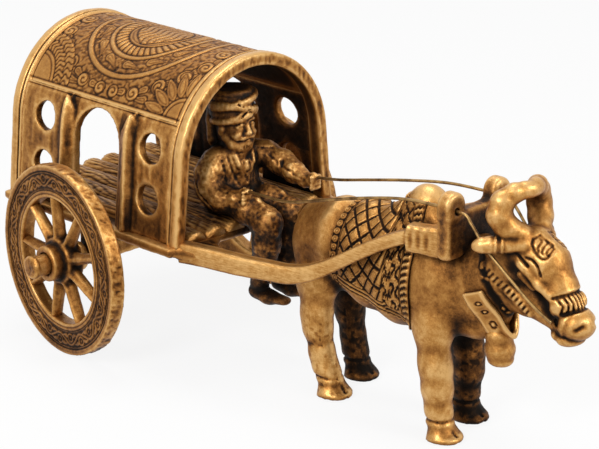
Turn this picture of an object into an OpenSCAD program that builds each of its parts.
// Cast brass model of a covered bullock cart: an arched canopy on a two-wheeled deck,
// a seated driver, and one humped bullock between the shafts.
// +X is forward, +Z is up, and the model stands on its wheels and hooves at z = 0.
// Inside the modules x is measured from the middle of the canopy.

/* [Canopy] */
// Length of the deck and of the canopy over its two arches
canopy_length = 90.6; // [76:0.2:110]
// Outer radius of the vault at the arches
vault_radius = 35.2; // [30:0.1:43]
// Height of the vault's axis above the deck
vault_rise = 25.2; // [18:0.1:34]
// Lean of each side wall away from upright, in degrees
wall_flare = 5.4; // [2:0.1:8]
// Thickness of the walls and of the roof
shell_thickness = 3.2; // [2.4:0.1:4.2]
// Width of the two end arches along the cart
arch_width = 5.5; // [4:0.1:8]
// How far the arches stand proud of the roof
arch_relief = 0.8; // [0.4:0.1:1.5]
// Angle above the vault's axis where roof meets wall, in degrees
roof_edge_angle = 27; // [20:1:32]

/* [Deck] */
// Height of the deck's underside above the middle of the axle
deck_clearance = 9.9; // [8:0.1:14]
// Thickness of the deck plate
deck_thickness = 3.4; // [2.5:0.1:5]
// Width of the ledge outside each wall
deck_ledge = 2.7; // [1.5:0.1:4]
// Number of round poles laid along the floor
pole_count = 7; // [5:1:9]
// Height of the poles above the deck plate
pole_height = 3.6; // [2.5:0.1:4.5]

/* [Openings] */
// Width of the arched doorway in each wall
door_width = 23.4; // [18:0.2:26]
// Height of the doorway's crown above the deck
door_height = 38.4; // [32:0.1:40]
// Radius of the round windows
window_radius = 5.1; // [4:0.1:6]
// Height of the upper windows' centres above the deck
upper_window_rise = 30.4; // [28:0.1:34]
// Height of the lower windows' centres above the deck
lower_window_rise = 12.8; // [10:0.1:16]
// Distance of the windows' centres from the arches
window_margin = 11.8; // [9:0.1:14]
// Width of each pointed door post
post_width = 8.2; // [6:0.1:9]
// How far a door post's ridge stands out of the wall
post_relief = 1.8; // [1:0.1:2.4]

/* [Wheels] */
// Radius of the wheels
wheel_radius = 34.3; // [28:0.1:42]
// Gap between the deck's side and each wheel
wheel_gap = 5.26; // [4:0.02:10]
// Distance of the wheels behind the middle of the canopy
wheel_setback = 2; // [0:0.1:8]
// Toe-out of each bent stub, in degrees
stub_toe = 6; // [0:0.5:7]
// Thickness of the rim
rim_thickness = 5.4; // [4:0.1:7]
// Inner radius of the rim
rim_inner_radius = 22.6; // [20:0.1:26]
// Number of spokes
spoke_count = 9; // [6:1:12]
// Radius of the hub where the spokes join it
hub_radius = 8.4; // [7:0.1:10]
// Length of the hub's collar outside the rim's face
collar_length = 5; // [3:0.1:6]
// Radius of the axle's round stubs
stub_radius = 3.7; // [2.5:0.1:4.5]
// Distance of each bracket's middle inside the deck's side
bracket_inset = 7.44; // [5:0.02:16]
// Radial clearance between stub and hub bore
bore_clearance = 0.08; // [0.04:0.01:0.1]
// Play between each hub and the shoulder or head beside it
end_play = 0.4; // [0.2:0.1:1]

/* [Shafts] */
// Width of each shaft
shaft_width = 4.6; // [3.5:0.1:6]
// Height of each shaft at the deck
shaft_root_height = 7; // [5:0.1:8]
// Height of each shaft where it enters its sleeve
shaft_tip_height = 4.6; // [3.5:0.1:6]
// Distance of each shaft inside the deck's side, at the deck
shaft_inset = 6.44; // [4:0.02:10]
// Distance of each shaft from the middle plane at the yoke
shaft_tip_spread = 11.4; // [10.8:0.1:13]

/* [Yoke] */
// Distance of the yoke's rear face ahead of the deck
yoke_reach = 95.1; // [93.5:0.1:96.5]
// Thickness of the yoke plate along the cart
yoke_thickness = 5.4; // [4:0.1:6]
// Half the width of the yoke plate
yoke_half_width = 15; // [14.5:0.1:17]
// Height of the yoke plate's lower edge
yoke_underside = 63.5; // [62:0.1:65]
// Height of the yoke plate's upper edge
yoke_top = 79.4; // [78:0.1:82]
// Radius of the two round lugs
lug_radius = 4.5; // [3.5:0.1:5]
// Height of the lug centres
lug_height = 80.3; // [79:0.1:82]
// Radius of the rein holes in the lugs
rein_hole_radius = 1.1; // [0.9:0.05:1.4]

/* [Reins] */
// Radius of the rein wires
rein_radius = 0.5; // [0.4:0.05:0.7]

/* [Figures] */
// Thickness of the saddle blanket over the hide
blanket_thickness = 0.9; // [0.6:0.1:1.4]
// Thickness of the neck strap over the hide
strap_thickness = 1.3; // [0.8:0.1:1.8]
// Height of the hooves
hoof_height = 6.4; // [5:0.1:8]

/* [Hidden] */

$fn = 64;
front_x = canopy_length / 2;
deck_underside = wheel_radius + deck_clearance;
deck_top = deck_underside + deck_thickness;
pole_top = deck_top + pole_height;
vault_axis_height = deck_top + vault_rise;
roof_radius = vault_radius - arch_relief;
wall_foot_drop = vault_axis_height - deck_top;

// The figures' rows are written for a deck that ends at figure_front with its poles'
// tops at figure_seat; the figures move with the deck's real front and floor.
figure_front = 45.3;
figure_seat = 51.2;
figure_shift = front_x - figure_front;
driver_lift = pole_top - figure_seat;
muzzle_reach = 190.6 + figure_shift;
middle_x = (muzzle_reach - canopy_length / 2) / 2;

// Half width of the outer side at the deck's top, for a vault of radius r.
function foot_half_width(r) = r / cos(wall_flare) + wall_foot_drop * tan(wall_flare);
deck_half_width = foot_half_width(vault_radius) + deck_ledge;

bay_length = canopy_length - 2 * arch_width;
window_offset = bay_length / 2 - window_margin;
door_centre = 1.2;
door_crown = deck_top + door_height;
door_spring = door_crown - door_width / 2;

wheel_x = -wheel_setback;
wheel_face = deck_half_width + wheel_gap + rim_thickness;
stub_end = collar_length + 6.2;
shoulder_end = -rim_thickness - 1 - end_play;

yoke_rear = front_x + yoke_reach;
shaft_foot_x = front_x - 0.5;
shaft_root_spread = deck_half_width - shaft_inset;
shaft_run = [yoke_rear - shaft_foot_x, shaft_root_spread - shaft_tip_spread];
shaft_span = norm(shaft_run);
shaft_turn = atan2(shaft_run[1], shaft_run[0]);
shaft_base_height = deck_underside + 1.3;
shaft_climb = yoke_underside + 6 - shaft_base_height;
sleeve_start = shaft_span - 12;
sleeve_height = 9;
sleeve_width = shaft_width + 0.8;

rein_lug_y = 10.8;
rein_lug_z = 78.7;
yoke_front = yoke_rear + yoke_thickness;

function smooth(t) = t <= 0 ? 0 : t >= 1 ? 1 : t * t * (3 - 2 * t);
function shaft_height_at(s) = shaft_base_height + shaft_climb * smooth((s - 38) / 58);
function shaft_half_at(s) =
    (shaft_root_height + (shaft_tip_height - shaft_root_height) * smooth(s / shaft_span)) / 2;

module place() { translate([-middle_x, 0, 0]) children(); }
module place_figure() { translate([figure_shift - middle_x, 0, 0]) children(); }
module place_driver() { place_figure() translate([0, 0, driver_lift]) children(); }
module mirror_left() { mirror([0, 1, 0]) children(); }

// ---- canopy -------------------------------------------------------------------------

// Cross section in the plane (y, z): a round vault that runs on into flared walls.
module tunnel_outline(r) {
    lean = wall_flare;
    foot = foot_half_width(r);
    translate([0, vault_axis_height]) circle(r = r, $fn = 96);
    polygon([[foot, deck_top], [r * cos(lean), vault_axis_height + r * sin(lean)],
        [-r * cos(lean), vault_axis_height + r * sin(lean)], [-foot, deck_top]]);
}

// Extrudes a (y, z) outline along x from x0 for a given length.
module along_x(x0, length) {
    translate([x0, 0, 0]) rotate([90, 0, 90]) linear_extrude(height = length) children();
}

module tunnel_shell(r_out, r_in) {
    difference() {
        tunnel_outline(r_out);
        tunnel_outline(r_in);
        translate([-100, deck_top - 60]) square([200, 60]);
    }
}

// Everything above the two rays that divide roof from wall.
module roof_sector() {
    reach = 90;
    edge = roof_edge_angle;
    translate([0, vault_axis_height])
        polygon([[0, 0], [reach * cos(edge), reach * sin(edge)], [0, 1.5 * reach],
            [-reach * cos(edge), reach * sin(edge)]]);
}

module door_cutter() {
    translate([door_centre, -60, 0]) rotate([-90, 0, 0]) {
        translate([0, -door_spring, 0]) cylinder(r = door_width / 2, h = 60);
        translate([-door_width / 2, -door_spring, 0])
            cube([door_width, door_spring - deck_top, 60]);
    }
}

module window_cutters() {
    for (x = [-window_offset, window_offset])
        for (rise = [upper_window_rise, lower_window_rise])
            translate([x + 0.8, -60, deck_top + rise]) rotate([-90, 0, 0])
                cylinder(r = window_radius, h = 60);
}

module wall() {
    difference() {
        along_x(-bay_length / 2, bay_length) difference() {
            tunnel_shell(roof_radius, vault_radius - shell_thickness - arch_relief);
            roof_sector();
            translate([0, 0]) square([100, 160]);
        }
        door_cutter();
        window_cutters();
    }
}

// Two pointed posts beside the doorway; each is a wedge that rises from the door's
// edge to a ridge near its far side.
module door_posts() {
    point_top = door_crown + 2;
    point_drop = 7;
    for (side = [-1, 1])
        intersection() {
            along_x(-bay_length / 2, bay_length) difference() {
                tunnel_shell(roof_radius + post_relief, roof_radius);
                roof_sector();
                square([100, 160]);
            }
            translate([door_centre, 0, 0]) scale([side, 1, 1])
                translate([door_width / 2, -20, 0]) rotate([90, 0, 0])
                    linear_extrude(height = 40)
                        polygon([[0, deck_top], [post_width, deck_top],
                            [post_width, point_top - point_drop / 2],
                            [post_width - 1.4, point_top], [0, point_top - point_drop]]);
        }
}

module arch(x0) {
    along_x(x0, arch_width)
        tunnel_shell(vault_radius, vault_radius - shell_thickness - arch_relief);
}

module deck() {
    color("peru") place()
        translate([-front_x, -deck_half_width, deck_underside])
            cube([canopy_length, 2 * deck_half_width, deck_thickness]);
}

module floor_poles() {
    inner_half = foot_half_width(roof_radius - shell_thickness) - 1.2;
    pitch = 2 * inner_half / pole_count;
    pole_r = pitch / 2 - 0.15;
    color("sienna") place() for (i = [0 : pole_count - 1])
        translate([0, -inner_half + (i + 0.5) * pitch, 0])
            along_x(-front_x, canopy_length) intersection() {
                translate([0, pole_top - pole_r]) circle(r = pole_r, $fn = 48);
                translate([-pole_r, deck_top]) square([2 * pole_r, pole_height + 1]);
            }
}

module wall_right() { color("goldenrod") place() wall(); }
module wall_left() { color("goldenrod") place() mirror_left() wall(); }

module canopy_roof() {
    color("darkgoldenrod") place() along_x(-bay_length / 2, bay_length) intersection() {
        tunnel_shell(roof_radius, roof_radius - shell_thickness);
        roof_sector();
    }
}

module front_arch() { color("gold") place() arch(front_x - arch_width); }
module rear_arch() { color("gold") place() arch(-front_x); }
module door_posts_right() { color("gold") place() door_posts(); }
module door_posts_left() { color("gold") place() mirror_left() door_posts(); }

// ---- axle and wheels ----------------------------------------------------------------

bracket_y = deck_half_width - bracket_inset;
bracket_width = 8;
beam_half = stub_radius - 0.3;
beam_length = bracket_y + bracket_width / 2;

// Places the wheel's own frame: z runs out along the stub from the wheel's outer face.
module on_stub() {
    translate([wheel_x, -wheel_face, wheel_radius]) rotate([0, 0, -stub_toe])
        rotate([90, 0, 0]) children();
}

module stub() {
    root = shoulder_end - 3.4;
    on_stub() {
        translate([0, 0, root]) cylinder(r = stub_radius, h = stub_end - root);
        translate([0, 0, root]) cylinder(r = stub_radius + 1.6, h = shoulder_end - root);
        translate([0, 0, stub_end - 2]) cylinder(r = stub_radius + 0.5, h = 2);
    }
}

module axle() {
    color("saddlebrown") place() {
        translate([wheel_x + 1 - beam_half, -beam_length, wheel_radius - beam_half])
            cube([2 * beam_half, 2 * beam_length, 2 * beam_half]);
        for (side = [0, 1]) mirror([0, side, 0]) {
            stub();
            neck_overlap = 4;
            translate([wheel_x + 1, -beam_length + neck_overlap, wheel_radius])
                rotate([90, 0, 0])
                    cylinder(r = stub_radius - 0.6,
                        h = neck_overlap + wheel_face - beam_length + shoulder_end + 1);
        }
    }
}

module axle_brackets() {
    length = 12;
    color("saddlebrown") place() for (side = [-1, 1]) difference() {
        translate([wheel_x + 1 - length / 2, side * bracket_y - bracket_width / 2,
            wheel_radius - beam_half - 1.6])
            cube([length, bracket_width, deck_underside - wheel_radius + beam_half + 1.6]);
        translate([wheel_x + 1 - beam_half, side * bracket_y - bracket_width,
            wheel_radius - beam_half])
            cube([2 * beam_half, 2 * bracket_width, 2 * beam_half]);
    }
}

module rim() {
    groove = 0.5;
    on_stub() translate([0, 0, -rim_thickness]) rotate_extrude($fn = 128)
        polygon([[rim_inner_radius, 0], [wheel_radius - 0.8, 0], [wheel_radius, 0.8],
            [wheel_radius, rim_thickness - 0.8], [wheel_radius - 0.8, rim_thickness],
            [wheel_radius - 2.6, rim_thickness], [wheel_radius - 3, rim_thickness - groove],
            [rim_inner_radius + 3, rim_thickness - groove],
            [rim_inner_radius + 2.6, rim_thickness], [rim_inner_radius, rim_thickness]]);
}

// Tapered bars between the hub's side and the rim's bore.
module spokes() {
    half_at_hub = 2.1;
    half_at_rim = 1.4;
    first_spoke = 17;
    overrun = 1;
    on_stub() translate([0, 0, -rim_thickness + 0.6]) difference() {
        intersection() {
            for (i = [0 : spoke_count - 1]) rotate([0, 0, first_spoke + i * 360 / spoke_count])
                linear_extrude(height = rim_thickness - 1.2)
                    polygon([[hub_radius - overrun, -half_at_hub],
                        [rim_inner_radius + overrun, -half_at_rim],
                        [rim_inner_radius + overrun, half_at_rim],
                        [hub_radius - overrun, half_at_hub]]);
            cylinder(r = rim_inner_radius, h = rim_thickness);
        }
        translate([0, 0, -1]) cylinder(r = hub_radius, h = rim_thickness + 2);
    }
}

module hub() {
    collar_radius = stub_radius + 3.6;
    on_stub() difference() {
        union() {
            translate([0, 0, -rim_thickness - 1]) cylinder(r = hub_radius, h = rim_thickness + 1);
            cylinder(r = collar_radius - 0.6, h = collar_length);
            translate([0, 0, collar_length - 2]) cylinder(r = collar_radius, h = 2);
        }
        translate([0, 0, -rim_thickness - 2])
            cylinder(r = stub_radius + bore_clearance, h = rim_thickness + collar_length + 3);
    }
}

module wheel_rim_right() { color("darkgoldenrod") place() rim(); }
module wheel_spokes_right() { color("goldenrod") place() spokes(); }
module wheel_hub_right() { color("gold") place() hub(); }
module wheel_rim_left() { color("darkgoldenrod") place() mirror_left() rim(); }
module wheel_spokes_left() { color("goldenrod") place() mirror_left() spokes(); }
module wheel_hub_left() { color("gold") place() mirror_left() hub(); }

// ---- shafts, yoke and reins ---------------------------------------------------------

// The right shaft: a side outline set on its slanting line in plan.
module shaft() {
    step = shaft_span / 28;
    stations = [0 : step : shaft_span + 0.001];
    upper = [for (s = stations) [s, shaft_height_at(s) + shaft_half_at(s)]];
    lower = [for (s = [shaft_span : -step : -0.001]) [s, shaft_height_at(s) - shaft_half_at(s)]];
    tip_height = shaft_height_at(shaft_span) - 1;
    intersection() {
        translate([shaft_foot_x, -shaft_root_spread, 0]) rotate([0, 0, shaft_turn]) {
            rotate([90, 0, 0]) translate([0, 0, -shaft_width / 2])
                linear_extrude(height = shaft_width) polygon(concat(upper, lower));
            translate([sleeve_start, -sleeve_width / 2, tip_height - sleeve_height / 2 - 1])
                cube([20, sleeve_width, sleeve_height]);
        }
        translate([front_x, -60, 0]) cube([yoke_rear - front_x, 60, 100]);
    }
}

module shaft_right() { color("goldenrod") place() shaft(); }
module shaft_left() { color("goldenrod") place() mirror_left() shaft(); }

module yoke_blank() {
    translate([yoke_rear, -yoke_half_width, yoke_underside])
        cube([yoke_thickness, 2 * yoke_half_width, yoke_top - yoke_underside]);
    for (side = [-1, 1]) translate([yoke_rear, side * rein_lug_y, lug_height])
        rotate([0, 90, 0]) cylinder(r = lug_radius, h = yoke_thickness);
}

module yoke() {
    color("sienna") place() difference() {
        yoke_blank();
        for (side = [-1, 1]) translate([yoke_rear - 1, side * rein_lug_y, rein_lug_z])
            rotate([0, 90, 0]) cylinder(r = rein_hole_radius, h = yoke_thickness + 2);
    }
}

// Rein routes, each from the driver's hand through its lug to the muzzle.
rein_right_hand = [[48, -9, 62.2], [56, -9, 62.5], [70, -9, 63.5], [88, -9, 68.5],
    [105, -9.5, 73.5], [122, -10.2, 77.5]];
rein_left_hand = [[63, 10, 66.4], [67, 10, 66.5], [76, 10, 68], [88, 10, 71],
    [105, 10.2, 75], [122, 10.5, 78]];
rein_bridle = [[136, -rein_lug_y, rein_lug_z], [148, -rein_lug_y, rein_lug_z],
    [151.5, -rein_lug_y, 76], [157, -10.6, 70], [164, -10, 64], [174, -8.4, 55.5],
    [181, -6.8, 50.4]];
rein_route_right = concat(rein_right_hand, rein_bridle);
rein_route_left = concat(rein_left_hand, [for (p = rein_bridle) [p[0], -p[1], p[2]]]);

function unit(v) = v / norm(v);
function tangent_at(p, i) = unit(p[min(i + 1, len(p) - 1)] - p[max(i - 1, 0)]);

// A tube of eight sides swept along the points p.
module wire(p, r) {
    sides = 8;
    rings = [for (i = [0 : len(p) - 1])
        let (t = tangent_at(p, i), a = unit(cross(t, [0, 0, 1])), b = cross(a, t))
        for (k = [0 : sides - 1]) p[i] + r * (cos(k * 360 / sides) * a + sin(k * 360 / sides) * b)];
    walls = [for (i = [0 : len(p) - 2]) for (k = [0 : sides - 1])
        [i * sides + k, i * sides + (k + 1) % sides,
            (i + 1) * sides + (k + 1) % sides, (i + 1) * sides + k]];
    first = [for (k = [sides - 1 : -1 : 0]) k];
    last = [for (k = [0 : sides - 1]) (len(p) - 1) * sides + k];
    polyhedron(rings, concat([first], walls, [last]), convexity = 6);
}

// A route whose start is raised with the driver, and which meets the yoke as written.
function risen(route) = [for (p = route)
    [p[0], p[1], p[2] + driver_lift * (1 - smooth((p[0] - 70) / 52))]];

module rein_right() { color("khaki") place_figure() wire(risen(rein_route_right), rein_radius); }
module rein_left() { color("khaki") place_figure() wire(risen(rein_route_left), rein_radius); }

// ---- figures ------------------------------------------------------------------------

// A chain of hulls over ellipsoids; each row is [x, y, z, rx, ry, rz].
module chain(rows, grow = 0) {
    for (i = [0 : len(rows) - 2]) hull() {
        blob(rows[i], grow);
        blob(rows[i + 1], grow);
    }
}

module blob(row, grow = 0) {
    translate([row[0], row[1], row[2]])
        scale([row[3] + grow, row[4] + grow, row[5] + grow]) sphere(r = 1, $fn = 20);
}

// Trunk, neck and hump of the bullock: x, y, z, rx, ry, rz.
trunk_rows = [[76, 0, 51, 8, 9.5, 12.5], [88, 0, 51.5, 8, 11.5, 15], [102, 0, 50.5, 8, 12.4, 17.5],
    [115, 0, 50, 8, 12.6, 19], [128, 0, 50, 8, 12, 19], [139, 0, 51, 8, 10.5, 17],
    [148, 0, 55, 7, 8.5, 14.5], [156, 0, 60, 6, 7.6, 12], [163, 0, 66, 6, 7.6, 9]];
hump_rows = [[118, 0, 66, 6, 5, 5], [125, 0, 70.5, 7, 5.5, 8.5], [133, 0, 67, 6, 5, 5]];
neck_split = 141;
head_split = 159;

module trunk(grow = 0) {
    chain(trunk_rows, grow);
    chain(hump_rows, grow);
}

module slab_x(x0, x1) { translate([x0, -60, -10]) cube([x1 - x0, 120, 140]); }

module harness() {
    translate([-figure_shift, 0, 0]) {
        yoke_blank();
        shaft();
        mirror_left() shaft();
    }
}

// Head: x, y, z, rx, ry, rz.
head_rows = [[160.5, 0, 66.5, 7, 7.6, 9.5], [168, 0, 67, 6.5, 8, 8.5], [174, 0, 62, 6, 6.6, 7],
    [181, 0, 55, 5, 5.2, 5.6], [184, 0, 50.3, 6.6, 6, 6.2]];

module head() { chain(head_rows); }

horn_rows = [[163, -6.4, 75, 3.6, 3.6, 3.6], [159.5, -11, 79, 4, 4, 4],
    [159, -11.6, 84, 3.8, 3.8, 3.8], [162, -7.5, 88, 3.2, 3.2, 3.2],
    [165, -2.6, 89.6, 2.2, 2.2, 2.2]];
ear_rows = [[163.5, -8, 72.4, 2.4, 1.6, 2.4], [160.5, -13, 72, 2.4, 1.6, 2.6],
    [157.5, -17, 71.6, 1.2, 1, 1.2]];

// Limb rows for the right side; the left side's limbs stand left_stagger further back.
left_stagger = 4.6;
fore_rows = [[132.5, -7, 47, 7, 4.5, 8], [134, -9, 35, 6, 4.2, 7], [136, -9.2, 22, 4.6, 4, 5],
    [138, -9, 11, 4, 3.8, 4], [139.3, -9, 3, 4.6, 4.6, 4]];
hind_rows = [[80, -5.5, 47, 8.5, 4.5, 9], [82.5, -8, 36, 7, 4.4, 7.5], [84.5, -9, 25, 4.4, 4, 6],
    [87, -9.2, 12, 4, 3.8, 4.5], [90.3, -9, 3, 4.6, 4.6, 4]];

function staggered(rows) = [for (i = [0 : len(rows) - 1])
    [rows[i][0] - left_stagger * i / (len(rows) - 1), -rows[i][1], rows[i][2],
        rows[i][3], rows[i][4], rows[i][5]]];

module above_hooves() { translate([0, -60, hoof_height]) cube([220, 120, 120]); }

module limbs(rows) {
    difference() {
        intersection() {
            union() {
                chain(rows);
                chain(staggered(rows));
            }
            above_hooves();
        }
        trunk();
    }
}

module hoof(x, y) {
    translate([x, y, 0]) cylinder(r1 = 6.6, r2 = 4.6, h = hoof_height);
}

module bullock_body() {
    color("goldenrod") place_figure() difference() {
        intersection() { trunk(); slab_x(0, neck_split); }
        harness();
    }
}

module bullock_neck() {
    color("goldenrod") place_figure() difference() {
        intersection() { trunk(); slab_x(neck_split, head_split); }
        harness();
    }
}

module bullock_head() {
    color("gold") place_figure() intersection() { head(); slab_x(head_split, 200); }
}

module bullock_horns() {
    color("darkgoldenrod") place_figure() difference() {
        union() { chain(horn_rows); mirror_left() chain(horn_rows); }
        head();
        trunk();
    }
}

module bullock_ears() {
    color("goldenrod") place_figure() difference() {
        union() { chain(ear_rows); mirror_left() chain(ear_rows); }
        head();
        trunk();
        chain(horn_rows);
        mirror_left() chain(horn_rows);
    }
}

module bullock_fore_legs() { color("goldenrod") place_figure() limbs(fore_rows); }
module bullock_hind_legs() { color("goldenrod") place_figure() limbs(hind_rows); }

module bullock_hooves() {
    color("gold") place_figure() for (rows = [fore_rows, hind_rows]) {
        last = len(rows) - 1;
        hoof(rows[last][0], rows[last][1]);
        hoof(rows[last][0] - left_stagger, -rows[last][1]);
    }
}

module bullock_tail() {
    tail_rows = [[71, 0, 61, 1.6, 1.6, 1.6], [67.4, 0, 56, 1.5, 1.5, 1.5],
        [66.4, 0, 48, 1.3, 1.3, 1.3], [67.2, 0, 41, 1.4, 1.4, 1.4], [68, 0, 35, 2, 2, 3],
        [68.4, 0, 31, 1, 1, 1]];
    color("goldenrod") place_figure() difference() {
        chain(tail_rows);
        trunk();
        chain(hind_rows);
        chain(staggered(hind_rows));
    }
}

// The blanket wraps the trunk between two slanting edges, down to a sloping hem.
module saddle_blanket() {
    rear_edge = 92.5;
    front_edge = 128.5;
    hem_rear = 43;
    hem_front = 35;
    color("peru") place_figure() difference() {
        intersection() {
            trunk(blanket_thickness);
            translate([0, 60, 0]) rotate([90, 0, 0]) linear_extrude(height = 120)
                polygon([[rear_edge, hem_rear], [front_edge, hem_front],
                    [front_edge, 100], [rear_edge + 2, 100]]);
        }
        trunk();
        chain(fore_rows);
        chain(staggered(fore_rows));
        chain(hind_rows);
        chain(staggered(hind_rows));
        harness();
    }
}

module neck_strap() {
    strap_width = 8;
    color("gold") place_figure() difference() {
        intersection() {
            trunk(strap_thickness);
            translate([152, 0, 52]) rotate([0, -22, 0])
                translate([-strap_width / 2, -40, -60]) cube([strap_width, 80, 120]);
            slab_x(yoke_front - figure_shift + 0.6, head_split);
        }
        trunk();
        head();
        harness();
    }
}

module bell() {
    bell_x = 157.8;
    color("gold") place_figure() difference() {
        hull() {
            translate([bell_x, 0, 28.6]) cylinder(r = 3.6, h = 1, $fn = 32);
            translate([bell_x, 0, 31.5]) cylinder(r = 4.6, h = 3, $fn = 32);
            translate([bell_x - 1.6, 0, 36]) cylinder(r = 4, h = 10, $fn = 32);
        }
        trunk(strap_thickness);
    }
}

// ---- driver -------------------------------------------------------------------------

torso_rows = [[31.5, 0, 55, 7.5, 9.5, 6], [32, 0, 61, 7.5, 9.5, 7], [33, 0, 68, 7, 9.5, 5.5]];
neck_row = [35, 0, 73, 4, 4, 4];
skull_rows = [[34.6, 0, 79, 6.8, 6.4, 7], [34.2, 0, 84, 7.2, 7, 6]];
turban_floor = 84;
collar_top = 73.2;
arm_right_rows = [[33, -11.4, 68.5, 3.6, 3.6, 3.6], [35.5, -14, 60, 3.4, 3.4, 3.4],
    [44, -10.4, 58, 2.8, 2.8, 2.8], [48, -9, 59.4, 2.8, 2.4, 2.6]];
arm_left_rows = [[34, 11.4, 68.5, 3.6, 3.6, 3.6], [46, 13, 66.5, 3.3, 3.3, 3.3],
    [58, 10.8, 63.4, 2.8, 2.8, 2.8], [62, 10, 63.6, 2.8, 2.4, 2.6]];
leg_rows = [[33, -5, 55.6, 5, 4.6, 4.4], [46, -5.6, 55.8, 4.6, 4.4, 4.4],
    [60, -6, 53.6, 4.4, 4, 4.4], [56.5, -5.6, 40, 3.4, 3.4, 4], [52, -5.4, 28, 3, 3, 3]];
shoe_rows = [[51, -5.4, 25, 3.2, 3.2, 3.4], [61, -5.4, 24, 3.4, 3, 2.4]];
shoe_top = 28;

module over_floor() { translate([0, -60, figure_seat]) cube([100, 120, 120]); }

module torso() {
    intersection() {
        union() {
            chain(torso_rows);
            hull() { blob(torso_rows[2]); blob(neck_row); }
        }
        over_floor();
        translate([0, -60, 0]) cube([100, 120, collar_top]);
    }
}

module driver_torso() { color("sienna") place_driver() torso(); }

module driver_head() {
    color("peru") place_driver() intersection() {
        chain(skull_rows);
        translate([0, -60, collar_top]) cube([100, 120, turban_floor - collar_top]);
    }
}

module driver_turban() {
    color("sienna") place_driver() translate([33.5, 0, turban_floor])
        cylinder(r1 = 8.4, r2 = 7.2, h = 10);
}

// The room a rein takes in the hand that holds it.
module hand_grip(route) {
    translate([0, 0, -driver_lift]) wire(risen(route), rein_radius + 0.02);
}

module arm(rows) {
    difference() {
        chain(rows);
        torso();
        chain(leg_rows);
        mirror_left() chain(leg_rows);
    }
}

module driver_arm_right() {
    color("peru") place_driver() difference() {
        arm(arm_right_rows);
        hand_grip(rein_route_right);
    }
}

module driver_arm_left() {
    color("peru") place_driver() difference() {
        arm(arm_left_rows);
        hand_grip(rein_route_left);
    }
}

module driver_legs() {
    color("saddlebrown") place_driver() difference() {
        union() { chain(leg_rows); mirror_left() chain(leg_rows); }
        torso();
        translate([0, -60, 0]) cube([figure_front, 120, figure_seat]);
        translate([0, -60, 0]) cube([100, 120, shoe_top]);
    }
}

module driver_shoes() {
    color("sienna") place_driver() for (side = [0, 1]) mirror([0, side, 0]) intersection() {
        chain(shoe_rows);
        translate([0, -60, 0]) cube([100, 120, shoe_top]);
    }
}

deck();
floor_poles();
wall_right();
wall_left();
canopy_roof();
front_arch();
rear_arch();
door_posts_right();
door_posts_left();
axle();
axle_brackets();
shaft_right();
shaft_left();
yoke();
rein_right();
rein_left();
driver_torso();
driver_head();
driver_turban();
driver_arm_right();
driver_arm_left();
driver_legs();
driver_shoes();
bullock_body();
bullock_neck();
bullock_head();
bullock_horns();
bullock_ears();
bullock_fore_legs();
bullock_hind_legs();
bullock_hooves();
bullock_tail();
saddle_blanket();
neck_strap();
bell();
wheel_rim_right();
wheel_spokes_right();
wheel_hub_right();
wheel_rim_left();
wheel_spokes_left();
wheel_hub_left();
